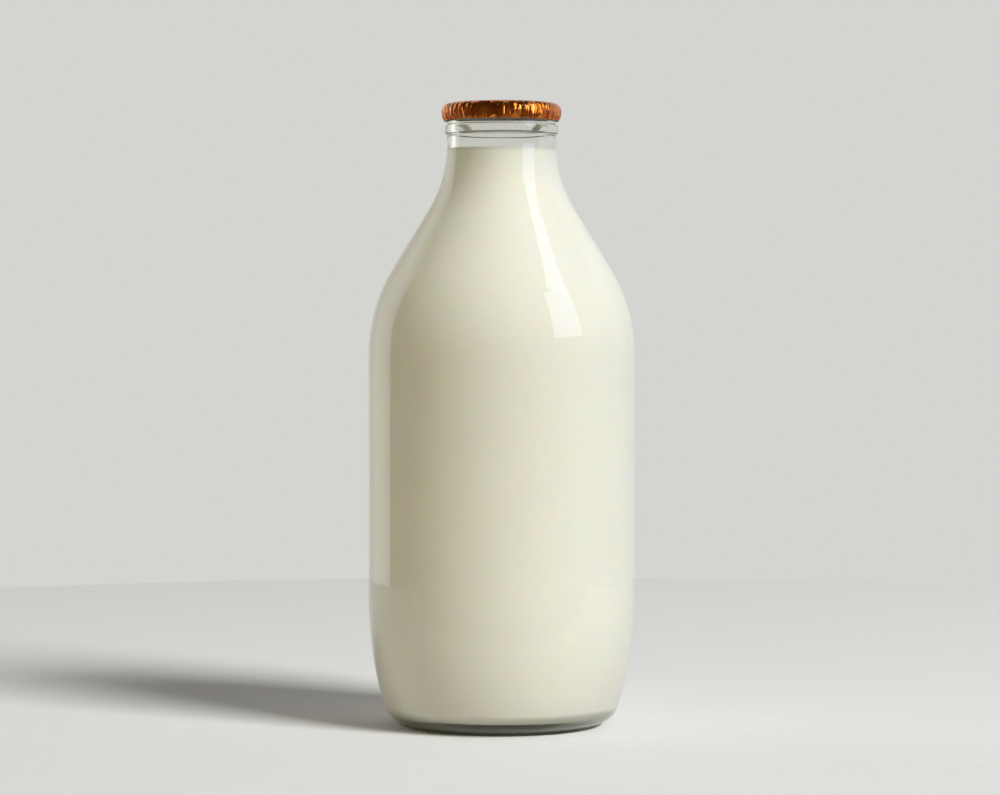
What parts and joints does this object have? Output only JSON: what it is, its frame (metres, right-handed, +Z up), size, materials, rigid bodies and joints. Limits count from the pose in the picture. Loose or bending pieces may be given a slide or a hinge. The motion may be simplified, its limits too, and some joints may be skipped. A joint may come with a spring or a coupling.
{
  "type": "glass milk bottle",
  "caption": "Round clear glass milk bottle with a sloping shoulder and a beaded neck, filled with milk and closed by a crimped copper-coloured foil cap.",
  "frame": {"origin": "middle of the ring that the bottle stands on", "axes": "+Z up along the bottle's axis, towards the mouth; X and Y are any two directions across it"},
  "size_m": [0.078, 0.078, 0.1816],
  "materials": {
    "glass": "clear moulded soda-lime glass, very faintly green, smooth and glossy",
    "milk": null,
    "foil": "thin aluminium foil with a glossy copper-orange lacquer, bare silver underneath"
  },
  "bodies": {
    "bottle": {"glass_bottle": "glass", "milk": "milk"},
    "cap": {"foil_cap": "foil"}
  },
  "joints": [
    {"name": "cap_lift", "type": "slide", "parent": "bottle", "child": "cap", "axis": [0, 0, 1], "range_m": [0, 0.06]}
  ]
}
